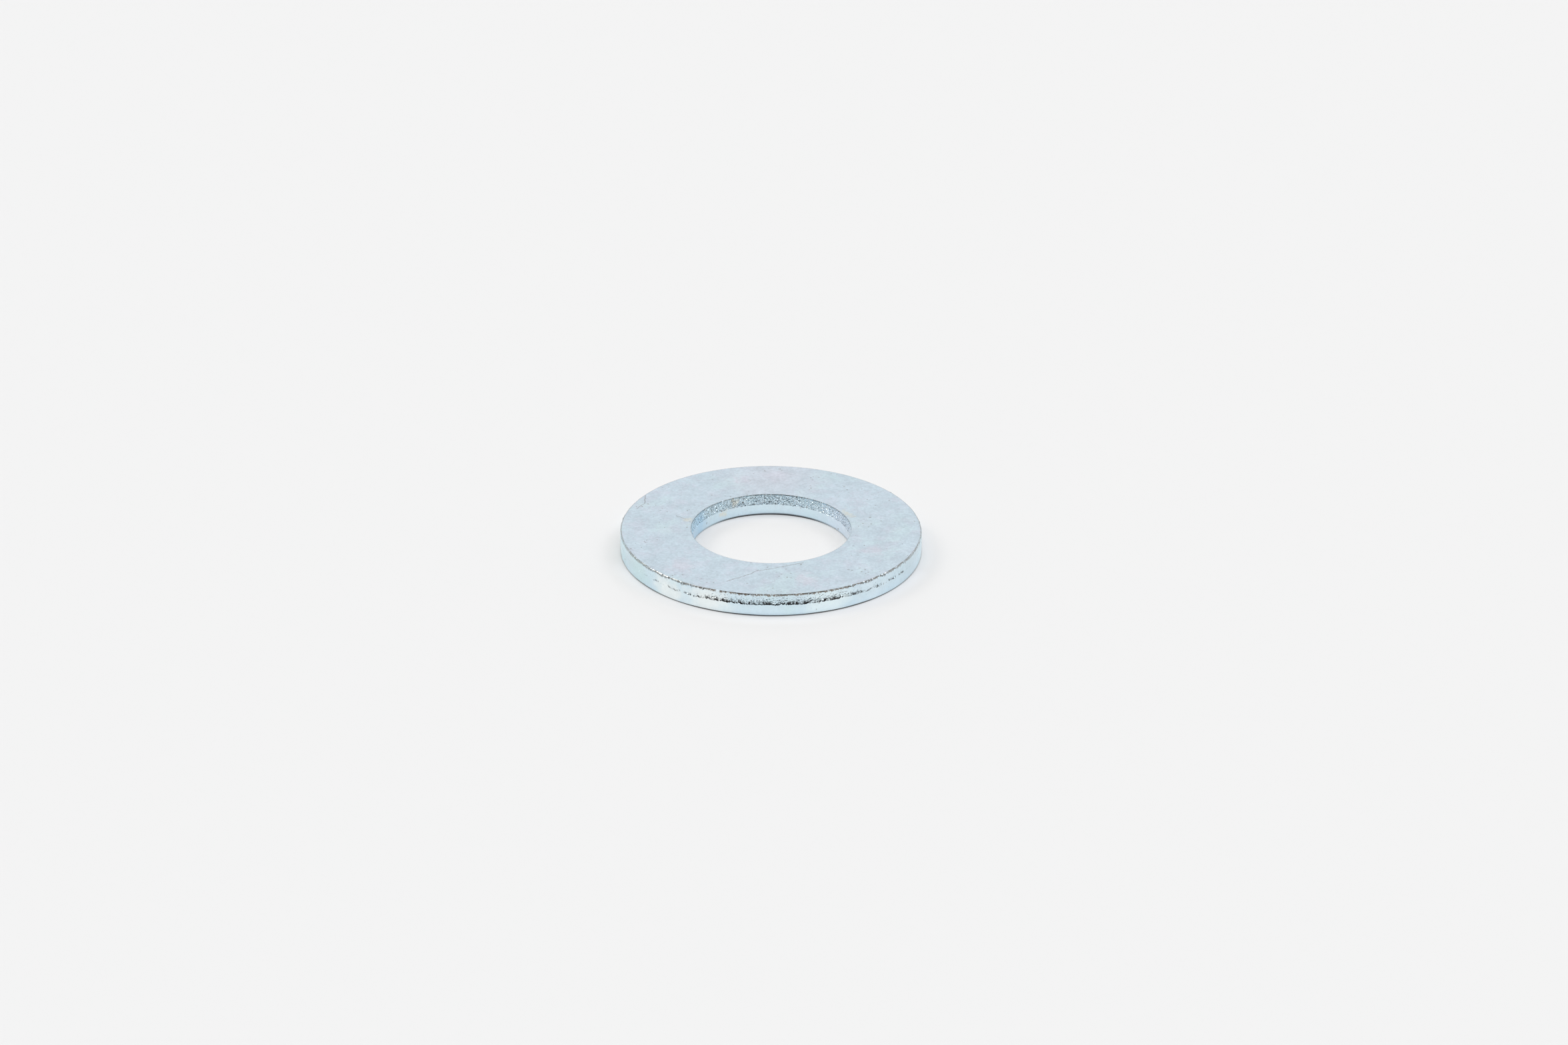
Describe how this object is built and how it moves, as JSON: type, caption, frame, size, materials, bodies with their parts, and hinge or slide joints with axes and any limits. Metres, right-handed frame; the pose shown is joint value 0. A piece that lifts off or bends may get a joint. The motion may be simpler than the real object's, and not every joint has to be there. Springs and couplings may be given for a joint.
{
  "type": "flat washer",
  "caption": "Plain flat round washer of zinc-plated steel that spreads a bolt head's or nut's load around its hole.",
  "frame": {"origin": "on the bore's axis, in the lower bearing face", "axes": "+Z along the bore's axis, from the lower (die roll) face to the upper (burr edge) face"},
  "size_m": [0.02, 0.02, 0.0015],
  "materials": {
    "zinc_plated_steel": "bright zinc plate with a pale blue clear passivate, satin faces, granular fracture bands and smooth sheared bands on the punched walls"
  },
  "bodies": {
    "root": {"flat_washer": "zinc_plated_steel"}
  },
  "joints": []
}
